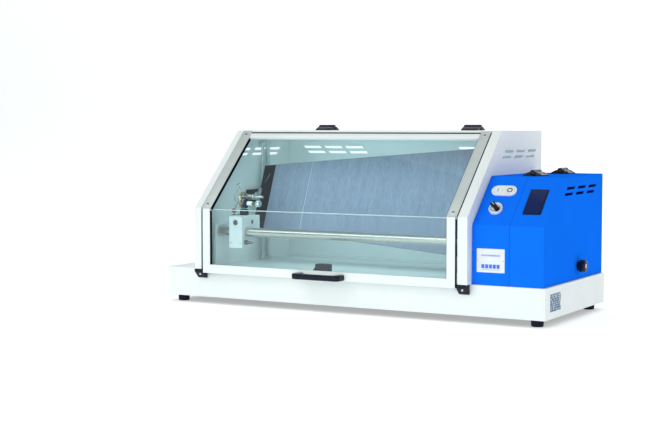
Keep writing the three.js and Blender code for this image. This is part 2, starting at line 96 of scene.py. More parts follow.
def along_x(y, z, x=0):
    return facing((x, y, z), (1, 0, 0))


# ---- Mesh building ----
def put(bm, local, points):
    return [bm.verts.new(local @ Vector(p)) for p in points]


def skin(bm, rings, closed=True, cap=True):
    """Faces between rings of vertices of one length, with the first and last ring filled."""
    count = len(rings[0])
    for low, high in zip(rings, rings[1:]):
        for i in range(count if closed else count - 1):
            j = (i + 1) % count
            bm.faces.new((low[i], low[j], high[j], high[i]))
    if cap:
        bm.faces.new(reversed(rings[0]))
        bm.faces.new(rings[-1])


def prism(bm, outline, low, high, local=UPRIGHT):
    """An outline in local x, y pushed along local z."""
    rings = [put(bm, local, [(x, y, z) for x, y in outline]) for z in (low, high)]
    skin(bm, rings)


def block(bm, xs, ys, zs, local=UPRIGHT):
    outline = [(xs[0], ys[0]), (xs[1], ys[0]), (xs[1], ys[1]), (xs[0], ys[1])]
    prism(bm, outline, zs[0], zs[1], local)


def lathe(bm, profile, local=UPRIGHT, steps=40, shape=None):
    """A profile of (radius, height) points turned about local z. Zero radius closes an end.
    shape(angle, radius, height) may change the radius."""
    rings = []
    for radius, height in profile:
        if radius <= 0:
            rings.append(put(bm, local, [(0, 0, height)]))
            continue
        ring = []
        for i in range(steps):
            a = tau * i / steps
            r = shape(a, radius, height) if shape else radius
            ring.append((r * cos(a), r * sin(a), height))
        rings.append(put(bm, local, ring))
    for low, high in zip(rings, rings[1:]):
        for i in range(steps):
            j = (i + 1) % steps
            corners = [low[i % len(low)], low[j % len(low)], high[j % len(high)],
                high[i % len(high)]]
            unique = list(dict.fromkeys(corners))
            if len(unique) > 2:
                bm.faces.new(unique)
    for ring, height in ((rings[0], 0), (rings[-1], 1)):
        if len(ring) > 1:
            bm.faces.new(ring if height else list(reversed(ring)))


def bar(low, high, radius, relief):
    """A round bar's profile along its axis, with its ends relieved."""
    neck = radius - relief
    return [(0, low), (neck, low), (radius, low + relief), (radius, high - relief),
            (neck, high), (0, high)]


def ring_lathe(bm, profile, local=UPRIGHT, steps=40, shape=None):
    """A closed profile of (radius, height) points turned about local z into a ring."""
    rings = []
    for i in range(steps):
        a = tau * i / steps
        ring = [(shape(a, r, h) if shape else r, 0, h) for r, h in profile]
        rings.append(put(bm, local @ Matrix.Rotation(a, 4, "Z"), ring))
    skin(bm, [*rings, rings[0]], cap=False)


def tube(bm, path, radius, steps=12):
    """A round bar along a path of points, with flat ends."""
    points = [Vector(p) for p in path]
    rings, side = [], None
    for i, point in enumerate(points):
        ahead = points[min(i + 1, len(points) - 1)] - points[max(i - 1, 0)]
        ahead.normalize()
        if side is None:
            side = ahead.orthogonal().normalized()
        side = (side - ahead * side.dot(ahead)).normalized()
        other = ahead.cross(side)
        rings.append([
            bm.verts.new(point + (side * cos(a) + other * sin(a)) * radius)
            for a in (tau * k / steps for k in range(steps))
        ])
    skin(bm, rings)


def rounded(points, radius, steps=5):
    """The outline with each corner replaced by an arc of about the radius."""
    result = []
    count = len(points)
    for i, corner in enumerate(points):
        p = Vector(corner)
        before = Vector(points[i - 1]) - p
        after = Vector(points[(i + 1) % count]) - p
        cut = min(radius, before.length * 0.45, after.length * 0.45)
        start, end = p + before.normalized() * cut, p + after.normalized() * cut
        for k in range(steps + 1):
            t = k / steps
            result.append(tuple(start * (1 - t) ** 2 + p * 2 * t * (1 - t) + end * t ** 2))
    return result


def rectangle(xs, ys, radius=0.0, steps=5):
    points = [(xs[0], ys[0]), (xs[1], ys[0]), (xs[1], ys[1]), (xs[0], ys[1])]
    return rounded(points, radius, steps) if radius else points


def soften(bm, width, segments=3, degrees=30, only=None):
    """Rounds the edges that turn more than the angle, where the test only(edge) agrees."""
    bm.normal_update()
    limit = radians(degrees)
    edges = [
        e for e in bm.edges
        if e.is_manifold and e.calc_face_angle(0) > limit and (only is None or only(e))
    ]
    if edges:
        bmesh.ops.bevel(
            bm, geom=edges, offset=width, segments=segments, profile=0.5,
            affect="EDGES", clamp_overlap=True,
        )


def middle(edge):
    return (edge.verts[0].co + edge.verts[1].co) / 2


# ---- Materials ----
class Nodes:
    """A short way to write a material's node tree."""

    def __init__(self, name):
        self.material = bpy.data.materials.new(name)
        self.material.use_nodes = True
        self.tree = self.material.node_tree
        self.tree.nodes.clear()
        self.output = self.add("ShaderNodeOutputMaterial")
        self.place = self.add("ShaderNodeTexCoord").outputs["Object"]

    def add(self, kind, inputs=None, **values):
        """A shader node. Each input is linked if a socket is given for it, and set if not."""
        node = self.tree.nodes.new(kind)
        for key, value in values.items():
            setattr(node, key, value)
        for key, value in (inputs or {}).items():
            if isinstance(value, bpy.types.NodeSocket):
                self.tree.links.new(value, node.inputs[key])
            else:
                node.inputs[key].default_value = value
        return node

    def finish(self, shader):
        self.tree.links.new(shader.outputs[0], self.output.inputs["Surface"])

    def stretched(self, scale):
        inputs = {"Scale": scale, "Vector": self.place}
        return self.add("ShaderNodeMapping", inputs).outputs["Vector"]

    def noise(self, scale, detail=2.0, vector=None, roughness=0.5):
        inputs = {"Scale": scale, "Detail": detail, "Roughness": roughness,
                  "Vector": vector or self.place}
        return self.add("ShaderNodeTexNoise", inputs).outputs["Fac"]

    def ramp(self, source, low, high, start=0.3, end=0.7):
        node = self.add("ShaderNodeValToRGB", {"Fac": source})
        first, last = node.color_ramp.elements
        first.position, last.position = start, end
        first.color, last.color = (*low, 1), (*high, 1)
        return node.outputs["Color"]

    def span(self, source, low, high):
        inputs = {"From Min": 0.25, "From Max": 0.75, "To Min": low, "To Max": high,
                  "Value": source}
        return self.add("ShaderNodeMapRange", inputs).outputs["Result"]

    def bump(self, height, distance, strength=1.0):
        inputs = {"Strength": strength, "Distance": distance, "Height": height}
        return self.add("ShaderNodeBump", inputs).outputs["Normal"]

    def surface(self, colour, roughness, normal=None, **plain):
        """The Principled shader, with colour and roughness from plain values or from nodes."""
        inputs = {key.replace("_", " "): value for key, value in plain.items()}
        inputs["Base Color"] = (*colour, 1) if isinstance(colour, tuple) else colour
        inputs["Roughness"] = roughness
        if normal:
            inputs["Normal"] = normal
        self.finish(self.add("ShaderNodeBsdfPrincipled", inputs))


def shade(colour, by):
    return tuple(min(1.0, c * by) for c in colour)


def powder_coat(name, colour, roughness, spread=0.03, grain=0.00006, shine=0.4):
    """Baked powder paint: a fine pebble, faint cloudiness and a slightly uneven gloss."""
    n = Nodes(name)
    cloud = n.noise(9.0, 3.0)
    tint = n.ramp(cloud, shade(colour, 1 - spread), shade(colour, 1 + spread))
    pebble = n.noise(1100.0, 1.0)
    n.surface(
        tint, n.span(n.noise(40.0, 3.0), roughness - 0.05, roughness + 0.06),
        n.bump(pebble, grain, 0.6), Specular_IOR_Level=shine,
    )
    return n.material


def moulded(name, colour, roughness, grain=0.00008, pebbles=700.0, spread=0.12, shine=0.35):
    """Moulded plastic or rubber: spark-eroded grain and scuffed gloss."""
    n = Nodes(name)
    tint = n.ramp(n.noise(60.0, 4.0), shade(colour, 1 - spread), shade(colour, 1 + spread))
    n.surface(
        tint, n.span(n.noise(25.0, 4.0), roughness - 0.08, roughness + 0.1),
        n.bump(n.noise(pebbles, 2.0), grain, 0.7), Specular_IOR_Level=shine,
    )
    return n.material


def brushed(name, colour, roughness, stretch=(4.0, 400.0, 400.0), spread=0.1, grain=0.00002,
        metallic=1.0):
    """Metal with fine lines along one axis: the stretch is small along the lines."""
    n = Nodes(name)
    lines = n.noise(1.0, 4.0, n.stretched(stretch), 0.65)
    tint = n.ramp(lines, shade(colour, 1 - spread), shade(colour, 1 + spread))
    n.surface(
        tint, n.span(lines, roughness - 0.08, roughness + 0.1),
        n.bump(lines, grain, 0.5), Metallic=metallic,
    )
    return n.material


def wound_yarn(name):
    """Even turns of blue-grey yarn: streaks along each turn, a little lint, no shine."""
    n = Nodes(name)
    streaks = n.noise(1.0, 3.0, n.stretched((520.0, 60.0, 60.0)), 0.6)
    bands = n.noise(1.0, 2.0, n.stretched((70.0, 4.0, 4.0)), 0.5)
    light, dark = (0.32, 0.355, 0.45), (0.215, 0.25, 0.34)
    scaled = n.add("ShaderNodeMath", {0: streaks, 1: 0.75}, operation="MULTIPLY").outputs[0]
    mixed = n.add("ShaderNodeMath", {0: bands, 1: 0.25, 2: scaled}, operation="MULTIPLY_ADD")
    tint = n.ramp(mixed.outputs[0], dark, light, 0.34, 0.66)
    fibre = n.noise(1.0, 2.0, n.stretched((1500.0, 300.0, 300.0)))
    n.surface(tint, 0.85, n.bump(fibre, 0.0002, 0.5), Sheen_Weight=0.25, Specular_IOR_Level=0.2)
    return n.material


def window_glass(name, through, mirror, head_on=0.035, grazing=0.75):
    """Clear sheet: light passes straight through with a tint, and the face mirrors by angle."""
    n = Nodes(name)
    clear = n.add("ShaderNodeBsdfTransparent", {"Color": (*through, 1)})
    smears = n.bump(n.noise(14.0, 3.0), 0.00004, 0.2)
    gloss = n.add("ShaderNodeBsdfGlossy",
                  {"Color": (*mirror, 1), "Roughness": 0.02, "Normal": smears})
    angle = n.add("ShaderNodeLayerWeight", {"Blend": 0.5}).outputs["Facing"]
    curve = n.add("ShaderNodeMath", {0: angle, 1: 4.0}, operation="POWER").outputs[0]
    share = n.add("ShaderNodeMath", {0: curve, 1: grazing, 2: head_on}, operation="MULTIPLY_ADD")
    n.finish(n.add("ShaderNodeMixShader", {
        "Fac": share.outputs[0], 1: clear.outputs[0], 2: gloss.outputs[0]}))
    return n.material


WHITE = powder_coat("white powder coat", (0.84, 0.885, 0.875), 0.42)
BLUE = powder_coat("blue powder coat", (0.006, 0.175, 0.97), 0.5, 0.02, shine=0.0)
BLACK = moulded("black moulded plastic", (0.007, 0.010, 0.022), 0.42, shine=0.18)
SHINY_BLACK = moulded("glossy black plastic", (0.005, 0.008, 0.020), 0.26, 0.00003, shine=0.22)
RUBBER = moulded("foot rubber", (0.007, 0.009, 0.024), 0.6, shine=0.15)
SEAL = moulded("black seal rubber", (0.004, 0.005, 0.010), 0.7, shine=0.1)
BELT = moulded("belt rubber", (0.012, 0.012, 0.013), 0.65)
RAIL = brushed("satin rail aluminium", (0.60, 0.655, 0.64), 0.5, (5.0, 60.0, 60.0), 0.04,
    metallic=0.35)
STEEL = brushed("ground steel", (0.60, 0.575, 0.53), 0.25)
CHROME = brushed("bright plated steel", (0.78, 0.79, 0.79), 0.12, (90.0, 90.0, 90.0), 0.04)
TURNED = brushed("turned aluminium", (0.62, 0.64, 0.62), 0.32, (300.0, 30.0, 30.0))
TUBES = brushed("satin column tubes", (0.62, 0.70, 0.72), 0.35, (90.0, 90.0, 20.0), 0.06,
    metallic=0.4)
SATIN = brushed("satin control ring", (0.80, 0.83, 0.84), 0.3, (90.0, 90.0, 90.0), 0.04,
    metallic=0.3)
BRASS = brushed("brass rim", (0.55, 0.45, 0.24), 0.3, (200.0, 60.0, 60.0))
# Dark steel for screws, pins and wires, also used as painted shade in screw sockets and in the
# carriage's holes.
DARK_STEEL_AND_SHADE = brushed("oiled screw steel and painted recess shade", (0.18, 0.19, 0.20), 0.35, (80.0, 80.0, 80.0))
PALE = moulded("pale plastic", (0.80, 0.84, 0.84), 0.35, 0.00004, 900.0, 0.03)
BOARD_BLACK = moulded("black board", (0.006, 0.009, 0.018), 0.5, 0.00005, 400.0, shine=0.1)
SCREEN = moulded("display glass", (0.004, 0.016, 0.090), 0.14, 0.00001, 60.0, shine=0.2)
RED = moulded("red ceramic eyelet", (0.38, 0.03, 0.02), 0.25)
YARN = wound_yarn("wound yarn")
STRAND = moulded("loose yarn strand", (0.62, 0.68, 0.74), 0.8, 0.0001, 3000.0)
INK_GREY = moulded("grey print", (0.33, 0.38, 0.46), 0.6, 0.00001)
INK_DARK = moulded("dark print", (0.06, 0.075, 0.11), 0.6, 0.00001)
INK_BLUE = moulded("blue print", (0.06, 0.17, 0.85), 0.6, 0.00001)
INK_LILAC = moulded("lilac print", (0.42, 0.42, 0.85), 0.6, 0.00001)
INK_LABEL = moulded("slate print", (0.035, 0.13, 0.26), 0.6, 0.00001)
GLASS = window_glass("window glass", (0.915, 0.98, 0.988), (0.92, 0.97, 0.98))
GLASS_EDGE = moulded("polished glass edge", (0.55, 0.78, 0.74), 0.2, 0.00001)


# ---- Pieces ----
def finish_mesh(bm, degrees):
    """Normals outward, smooth faces, and sharp edges past the angle."""
    bmesh.ops.recalc_face_normals(bm, faces=bm.faces)
    limit = radians(degrees)
    for face in bm.faces:
        face.smooth = True
    for edge in bm.edges:
        edge.smooth = edge.is_manifold and edge.calc_face_angle(0) < limit


def piece(name, body, material, build, stands_for=(), degrees=35, width=0.0, segments=3):
    """Makes a piece from build(bm), which works in machine millimetres."""
    bm = bmesh.new()
    build(bm)
    bmesh.ops.remove_doubles(bm, verts=bm.verts, dist=1e-4)
    if width:
        soften(bm, width, segments)
    finish_mesh(bm, degrees)
    bm.transform(Matrix.Translation(ORIGIN) @ Matrix.Scale(MM, 4))
    mesh = bpy.data.meshes.new(name)
    bm.to_mesh(mesh)
    bm.free()
    for m in material if isinstance(material, list) else [material]:
        mesh.materials.append(m)
    obj = bpy.data.objects.new(name, mesh)
    bpy.context.scene.collection.objects.link(obj)
    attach(obj, body)
    if stands_for:
        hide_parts(*stands_for)
    return obj


def load_node(bm, node):
    """A CAD node's mesh in machine millimetres, welded, with its flat faces whole again."""
    bm.from_mesh(frame["nodes"][node].data)
    bm.transform(Matrix.Scale(1 / MM, 4) @ Matrix.Translation(-ORIGIN))
    bmesh.ops.remove_doubles(bm, verts=bm.verts, dist=1e-3)
    bmesh.ops.dissolve_limit(
        bm, angle_limit=radians(1.0), verts=bm.verts, edges=bm.edges, delimit={"NORMAL"},
    )


def refine(node, material, width=0.4, segments=2, large=()):
    """Stands for a CAD node: the same solid with its edges rounded, large ones first.
    large holds (test(edge), width, segments)."""

    def build(bm):
        load_node(bm, node)
        for only, wide, steps in large:
            soften(bm, wide, steps, only=only)
        soften(bm, width, segments)

    return piece(f"{node}_fine", BODY_OF[node], material, build, (node,))


def screws(name, body, places, radius=4.0, height=2.0, material=None):
    """Screw heads as one piece, with their socket faces in dark steel as painted shade in the
    recess.
    """

    def build(bm):
        for local in places:
            head = [(0, 0.02), (radius, 0.02), (radius, height * 0.45),
                (radius * 0.86, height * 0.85),
                    (radius * 0.62, height), (radius * 0.5, height), (radius * 0.5, height * 0.4),
                    (0, height * 0.4)]
            start = len(bm.faces)
            lathe(bm, head, local, 24)
            bm.faces.ensure_lookup_table()
            for face in bm.faces[start:]:
                centre = local.inverted() @ face.calc_center_median()
                # Socket faces take the dark steel: painted shade in the recess.
                if centre.xy.length < radius * 0.52:
                    face.material_index = 1

    return piece(name, body, [material or CHROME, DARK_STEEL_AND_SHADE], build)


# ---- Base ----
def make_base():
    def long_edge(e):
        return e.calc_length() > 50 and middle(e).z > 1

    refine("base_tray", WHITE, 0.4, 2, [(long_edge, 1.6, 4)])
    refine("base_bottom_plate", WHITE, 0.5)
    for end in ("front", "rear"):
        for side in ("left", "right"):
            node = f"{end}_{side}_foot"
            low, high = BOX[node]
            centre = facing(((low.x + high.x) / 2, (low.y + high.y) / 2, low.z), (0, 0, 1))
            tall = high.z - low.z
            profile = [(0, 6), (3.2, 6), (3.8, 5.4), (4.2, 0.5), (5, 0), (10.6, 0), (11.8, 0.5),
                       (12.4, 1.8), (13, tall - 4.2), (13, tall - 1.2), (12.2, tall), (0, tall)]
            piece(f"{node}_fine", "root", RUBBER, lambda bm: lathe(bm, profile, centre, 48),
                  (node,))


# ---- Cabin ----
def make_cabin():
    for side, face in (("left", 0), ("right", 1)):
        node = f"cabin_{side}_side"
        plane = BOX[node][face].x

        def outer(e):
            return e.calc_length() > 40 and abs(middle(e).x - plane) < 0.1

        def folds(e):
            run = e.verts[0].co - e.verts[1].co
            return abs(run.x) > 10 and abs(run.y) + abs(run.z) < 1

        refine(node, WHITE, 0.35, 2, [(outer, 1.3, 4), (folds, 0.8, 3)])
    refine("cabin_back_panel", WHITE, 0.35)
    refine("cabin_rear_top", WHITE, 0.35)
    low, high = BOX["cabin_back_panel"]
    base_rear = BOX["base_tray"][1].y

    def sill(bm):
        block(bm, (low.x + 0.2, high.x - 0.2), (base_rear + 0.2, high.y - 2.3), (61.5, 64.0))

    piece("cabin_rear_sill", "root", WHITE, sill, width=0.3, segments=2)
    for side in ("left", "right"):
        node = f"{side}_corner_bracket"
        refine(node, BLACK, 0.9, 3)
        low, high = BOX[node]
        screws(f"{side}_bracket_screw", "root",
            [facing(((low.x + high.x) / 2, -13.5, 53), (0, -1, 0))], 2.7, 1.6)


# ---- Lid ----
def window_outline(front, bottom, fold, length, thickness, radius=7.0, steps=8):
    """The bent pane's section in (y, z): outer face up and over the fold, then back inside."""
    turn = pi / 2 - SLOPE
    back = radius * tan(turn / 2)
    outer, inner = [(front, bottom)], [(front + thickness, bottom)]
    centre = (front + radius, fold - back)
    for i in range(steps + 1):
        a = pi - turn * i / steps
        for path, r in ((outer, radius), (inner, radius - thickness)):
            path.append((centre[0] + r * cos(a), centre[1] + r * sin(a)))
    c, s = cos(SLOPE), sin(SLOPE)
    end = (front + length * c, fold + length * s)
    outer.append(end)
    inner.append((end[0] + thickness * s, end[1] - thickness * c))
    return outer + inner[::-1]


SIDEWAYS = axes((0, 0, 0), (0, 1, 0), (0, 0, 1), (1, 0, 0))


def make_lid():
    for node in ("lid_lower_frame", "lid_top_bar", "lid_top_panel"):
        refine(node, WHITE, 0.5)
    for side in ("left", "right"):
        refine(f"lid_{side}_rail", RAIL, 0.5)
    low, high = BOX["lid_window"]
    thickness = WINDOW_THICKNESS
    length = (high.z - WINDOW_FOLD) / sin(SLOPE)

    def pane(bm):
        outline = window_outline(low.y, low.z, WINDOW_FOLD, length, thickness)
        prism(bm, outline, low.x, high.x, SIDEWAYS)
        bm.normal_update()
        for face in bm.faces:
            across = abs(face.normal.x) > 0.9
            ends = face.calc_area() < 4 * thickness * (high.x - low.x) / 3 and face.normal.z < -0.5
            face.material_index = 1 if across or ends else 0

    piece("window_pane", "lid", [GLASS, GLASS_EDGE], pane, ("lid_window",), width=0.35, segments=1)

    left_post, right_post = 129.5, 705.8
    outer_left, outer_right = (corner.x for corner in BOX["lid_lower_frame"])
    rail = {side: BOX[f"lid_{side}_rail"] for side in ("left", "right")}
    thick, gap = 0.8, 0.1
    post_depth = (CABIN_FRONT + 0.7, CABIN_FRONT + 7.7)
    rail_depth, bar_depth = (-7.7, -0.7), (-6.5, 0.45)
    opening_foot, frame_foot, post_top = 75.4, 57, 195

    def seal(bm):
        for x in ((left_post + gap, left_post + gap + thick),
                (right_post - gap - thick, right_post - gap)):
            block(bm, x, post_depth, (opening_foot, post_top))
        for x in ((outer_left - gap - thick, outer_left - gap),
                (outer_right + gap, outer_right + gap + thick)):
            block(bm, x, post_depth, (frame_foot, post_top))
        inner = (rail["left"][1].x + gap, rail["right"][0].x - gap)
        for x in ((inner[0], inner[0] + thick), (inner[1] - thick, inner[1])):
            block(bm, x, (1.0, 222), rail_depth, SLANT)
        block(bm, (inner[0], inner[1]), (236.8, 239.9), bar_depth, SLANT)
        edge = rail["right"][1].x
        block(bm, (edge - 1.5, edge + 0.7), (0.8, 239.5), bar_depth, SLANT)

    piece("lid_seal", "lid", SEAL, seal)
    places = []
    for side in ("left", "right"):
        x = (rail[side][0].x + rail[side][1].x) / 2
        places += [SLANT @ Matrix.Translation((x, s, 0)) for s in (11.5, 231.7)]
    screws("rail_screws", "lid", places, 3.8, 1.8)
    low, high = BOX["lid_handle"]

    def handle(bm):
        half, reach, foot_depth = (high.x - low.x) / 2, high.y - low.y, 16.0
        mid, tip, foot = (low.x + high.x) / 2, low.y, high.y
        outer = rounded([(-half, foot), (-half, tip), (half, tip), (half, foot)], 13.0, 7)[8:-8]
        inner = rounded([(half - foot_depth, foot), (half - foot_depth - 3, tip + 11),
                         (-half + foot_depth + 3, tip + 11), (-half + foot_depth, foot)], 8.0,
                         6)[7:-7]
        outline = [(-half, foot), *outer, (half, foot), (half - foot_depth, foot), *inner,
                   (-half + foot_depth, foot)]
        prism(bm, [(x + mid, y) for x, y in outline], low.z, high.z)
        soften(bm, 2.6, 4, only=lambda e: abs(e.verts[0].co.z - e.verts[1].co.z) < 0.1
               and middle(e).y < foot - 0.5)

    piece("lid_handle_fine", "lid", SHINY_BLACK, handle, ("lid_handle",), degrees=50)
    refine("lid_switch", BLACK, 1.0, 3, [(lambda e: middle(e).z > 80, 2.5, 4)])
    low, high = BOX["lid_switch"]

    def lever(bm):
        outline = [(low.x - 0.3, 66), (low.x - 0.3, 82), (low.x - 3, 79), (low.x - 12, 68),
            (low.x - 12, 66)]
        rings = [put(bm, UPRIGHT, [(x, y, z) for x, z in outline]) for y in (7, 17)]
        skin(bm, rings)

    piece("switch_lever", "root", BLACK, lever, width=0.6, segments=2)
    screws("switch_screws", "root",
           [facing((x, low.y, 72), (0, -1, 0)) for x in (low.x + 7, high.x - 7)], 2.2, 1.0)


def make_hinges():
    """Two leaves with sloped plates and a barrel, and four screws, for each hinge."""
    places = {
        "lid_hinge_left": ((236, 320, 379.8), 0, "lid"),
        "lid_hinge_right": ((613, 320, 379.8), 0, "lid"),
        "cover_hinge_front": ((832.7, 143, 286.9), 90, "side_cover"),
        "cover_hinge_rear": ((832.7, 303, 286.9), 90, "side_cover"),
    }
    half, radius, relief = 20.4, 5.95, 0.6
    for name, (origin, turn, body) in places.items():
        local = Matrix.Translation(origin) @ Matrix.Rotation(radians(turn), 4, "Z")
        barrel = local @ facing((0, 0, 0), (1, 0, 0))

        def half_hinge(bm, side, knuckles):
            wedge = [(20.4, -6.9), (20.4, -4.6), (19.6, -4.1), (8.2, 1.3), (6.7, 1.3), (6.7, -6.9)]
            prism(bm, [(side * y, z) for y, z in wedge], -half, half, local @ SIDEWAYS)
            for low, high in knuckles:
                block(bm, (low, high), sorted((0, side * 7)), (-6.8, -2), local)
                lathe(bm, [(0, low), (5.4, low), (radius, low + relief), (radius, high - relief),
                           (5.4, high), (0, high)], barrel, 36)

        middle_knuckle, end_knuckles = [(-9.7, 9.7)], [(-half, -9.9), (9.9, half)]
        piece(f"{name}_leaf_fine", body, SHINY_BLACK,
              lambda bm: half_hinge(bm, -1, middle_knuckle), (f"{name}_leaf",))
        piece(f"{name}_base_fine", "root", SHINY_BLACK,
              lambda bm: half_hinge(bm, 1, end_knuckles), (f"{name}_base",))
        for part, owner, side in (("leaf", body, -1), ("base", "root", 1)):
            spots = [local @ facing((x, side * 14, -1.4), (0, side * 0.43, 0.9)) for x in (-12.5,
                12.5)]
            screws(f"{name}_{part}_screws", owner, spots, 3.0, 0.7, DARK_STEEL_AND_SHADE)


# ---- Drive housing and controls ----
FRONT = axes((0, DRIVE_FRONT, 0), (1, 0, 0), (0, 0, 1), (0, -1, 0))


def make_housing():
    def folds(e):
        m = middle(e)
        near = min(hypot(m.y - y, m.z - z) for y, z in (
            (DRIVE_FRONT, DRIVE_FOLD), (DRIVE_TOP_FOLD, DRIVE_TOP)))
        return near < 0.5 and abs(e.verts[0].co.x - e.verts[1].co.x) > 20

    right = BOX["side_cover"][1].x

    def outer(e):
        return e.calc_length() > 60 and abs(middle(e).x - right) < 0.1

    refine("drive_housing", BLUE, 0.35, 2, [(folds, 1.8, 4)])
    refine("side_cover", BLUE, 0.35, 2, [(lambda e: folds(e) or outer(e), 1.5, 4)])

    low, high = BOX["cover_lock_knob"]
    knob_face = right + 0.3
    local = along_x(LOCK_Y, LOCK_Z)

    def knob(bm):
        def grip(a, r, h):
            return r * (1 - 0.035 * (0.5 + 0.5 * cos(12 * a))) if 8 < r and h < high.x - 2 else r

        lathe(bm, [(0, knob_face), (8.6, knob_face), (9, knob_face + 2.5), (12.4, knob_face + 4.5),
                   (13, knob_face + 6), (13, high.x - 4), (12.2, high.x - 1.6), (10, high.x - 0.3),
                   (6.2, high.x), (5.6, high.x - 0.8), (0, high.x - 1.1)], local, 72, grip)
        lathe(bm, [(0, low.x + 4), (3.9, low.x + 4), (3.9, knob_face - 0.1), (0, knob_face - 0.1)],
            local, 24)
        block(bm, (low.x, low.x + 4), (LOCK_Y - 7, LOCK_Y + 24), (LOCK_Z - 6, LOCK_Z + 6))

    piece("cover_lock_knob_fine", "cover_lock", SHINY_BLACK, knob, ("cover_lock_knob",), width=0.25,
        segments=2)
    screws("lock_knob_cap", "cover_lock", [along_x(LOCK_Y, LOCK_Z, high.x - 1.0)], 4.2, 0.9)

    plate_low, plate_high = BOX["name_plate"]
    middle_z = (plate_low.z + plate_high.z) / 2

    def plate(bm):
        prism(bm, rectangle((plate_low.x, plate_high.x), (plate_low.z, plate_high.z), 1.2), 0.3,
            1.3, FRONT)

    def printed(bm):
        x0, x1 = plate_low.x + 9, plate_high.x - 9
        block(bm, (x0 + 1, x1 - 1), (middle_z + 8.7, middle_z + 12), PRINT_LAYER, FRONT)
        block(bm, (x0 + 2, x1 - 2), (middle_z - 18.5, middle_z - 17.6), PRINT_LAYER, FRONT)

    def printed_band(bm):
        for i in range(5):
            x = plate_low.x + 10.2 + i * 8.2
            block(bm, (x, x + 6.6), (middle_z - 15.5, middle_z - 7.5), PRINT_LAYER, FRONT)

    piece("name_plate_fine", "root", PALE, plate, ("name_plate",), width=0.2, segments=2)
    piece("name_plate_lines", "root", INK_LILAC, printed)
    piece("name_plate_blocks", "root", INK_BLUE, printed_band)
    screws("name_plate_screws", "root",
           [FRONT @ Matrix.Translation((x, middle_z, 1.3)) for x in (plate_low.x + 3,
           plate_high.x - 3)], 1.5, 0.6)


def make_controls():
    pair = {"x": 794.0, "y": 93.0, "offset": 12.8}
    refine("switch_bezel", PALE, 0.3, 2, [(lambda e: True, 1.1, 4)])
    for node, side in (("start_button", -1), ("stop_button", 1)):
        centre = FASCIA @ Matrix.Translation((pair["x"] + side * pair["offset"], pair["y"], 0))
        piece(f"{node}_fine", node, PALE, lambda bm: lathe(
            bm, [(0, 3.1), (9.4, 3.1), (9.4, 4.4), (9.0, 4.9), (8.2, 5.0), (5, 4.65), (0, 4.5)],
            centre, 48),
            (node,))

    def start_mark(bm):
        x = pair["x"] - pair["offset"]
        prism(bm, rectangle((x - 1.1, x + 1.1), (pair["y"] - 4.2, pair["y"] + 4.2), 0.3), 4.6, 4.9,
            FASCIA)

    def stop_mark(bm):
        centre = FASCIA @ Matrix.Translation((pair["x"] + pair["offset"], pair["y"], 0))
        ring_lathe(bm, [(3.6, 4.6), (6.0, 4.6), (6.0, 4.95), (3.6, 4.95)], centre, 40)

    def lens(bm):
        outline = rectangle((pair["x"] - 2.6, pair["x"] + 2.6), (pair["y"] - 2.6, pair["y"] + 2.6),
            0.8)
        prism(bm, outline, 4.0, 4.9, FASCIA)

    piece("start_mark", "start_button", INK_GREY, start_mark)
    piece("stop_mark", "stop_button", INK_DARK, stop_mark)
    piece("pilot_lens", "root", PALE, lens, width=0.4)

    dial = FASCIA @ Matrix.Translation((790.8, 43.0, 0))
    piece("selector_ring_fine", "root", SATIN, lambda bm: ring_lathe(
        bm, [(9.3, 0.3), (14.5, 0.3), (14.5, 5.4), (13.7, 6.7), (12.8, 7.0), (11.6, 6.7),
        (9.6, 5.6), (9.3, 5.2)],
        dial, 64), ("selector_ring",))
    lever = dial @ Matrix.Rotation(radians(45), 4, "Z")

    def grip(bm):
        lathe(bm, [(0, 0.4), (8.9, 0.4), (8.9, 6.6), (8.3, 7.4), (0, 7.7)], dial, 48)
        for face in bm.faces:
            face.material_index = 1
        waist = [(-5, -12), (-3.4, -13), (3.4, -13), (5, -12), (4.7, 0), (5, 12), (3.4, 13),
            (-3.4, 13),
                 (-5, 12), (-4.7, 0)]
        rings = [put(bm, lever, [(x * k, y * j, z) for x, y in rounded(waist, 1.4, 3)])
                 for k, j, z in ((1, 1, 7.4), (0.97, 0.99, 10.6), (0.86, 0.97, 13.4),
                     (0.6, 0.92, 14.2))]
        skin(bm, rings)

    def index(bm):
        block(bm, (-0.5, 0.5), (1.5, 10.8), (14.0, 14.35), lever)

    piece("selector_lever_fine", "selector", [BLACK, SATIN], grip, ("selector_lever",), width=0.3,
        segments=2)
    piece("selector_index", "selector", PALE, index)

    xs, ys = (850.0, 888.5), (32.0, 100.0)
    rim = 2.6

    def display(bm):
        prism(bm, rectangle(xs, ys, 1.6), 0.3, 1.5, FASCIA)
        inner = rectangle((xs[0] + rim, xs[1] - rim), (ys[0] + rim, ys[1] - rim), 1.0)
        start = len(bm.faces)
        prism(bm, inner, 1.55, 2.2, FASCIA)
        bm.faces.ensure_lookup_table()
        for face in bm.faces[start:]:
            face.material_index = 1

    piece("display_panel_fine", "side_cover", [SHINY_BLACK, SCREEN], display, ("display_panel",),
        width=0.2)


def make_side_label():
    """A plain label of bars on the base's right side."""
    right = BOX["base_tray"][1].x
    local = axes((right, 0, 0), (0, 1, 0), (0, 0, 1), (1, 0, 0))
    ys, zs = (25.5, 86.5), (13.0, 52.0)

    def label(bm):
        prism(bm, rectangle(ys, zs, 1.5), 0.02, 0.15, local)

    def bars(bm):
        chance = random.Random(7)
        rows, y0, y1 = 8, ys[0] + 1.5, ys[1] - 1.5
        height = (zs[1] - zs[0] - 3) / rows
        for row in range(rows):
            z = zs[0] + 1.5 + row * height
            y = y0
            while y < y1 - 2:
                wide = min(chance.uniform(4.0, 15.0), y1 - y)
                block(bm, (y, y + wide), (z + 0.35, z + height - 0.35), (0.17, 0.25), local)
                y += wide + chance.uniform(1.0, 3.6)

    piece("side_label", "root", PALE, label)
    piece("side_label_bars", "root", INK_LABEL, bars)


# ---- Drive inside the housing ----
def toothed(teeth, depth):
    def shape(a, r, h):
        return r - depth * (0.5 + 0.5 * tanh(4 * sin(teeth * a)))
    return shape


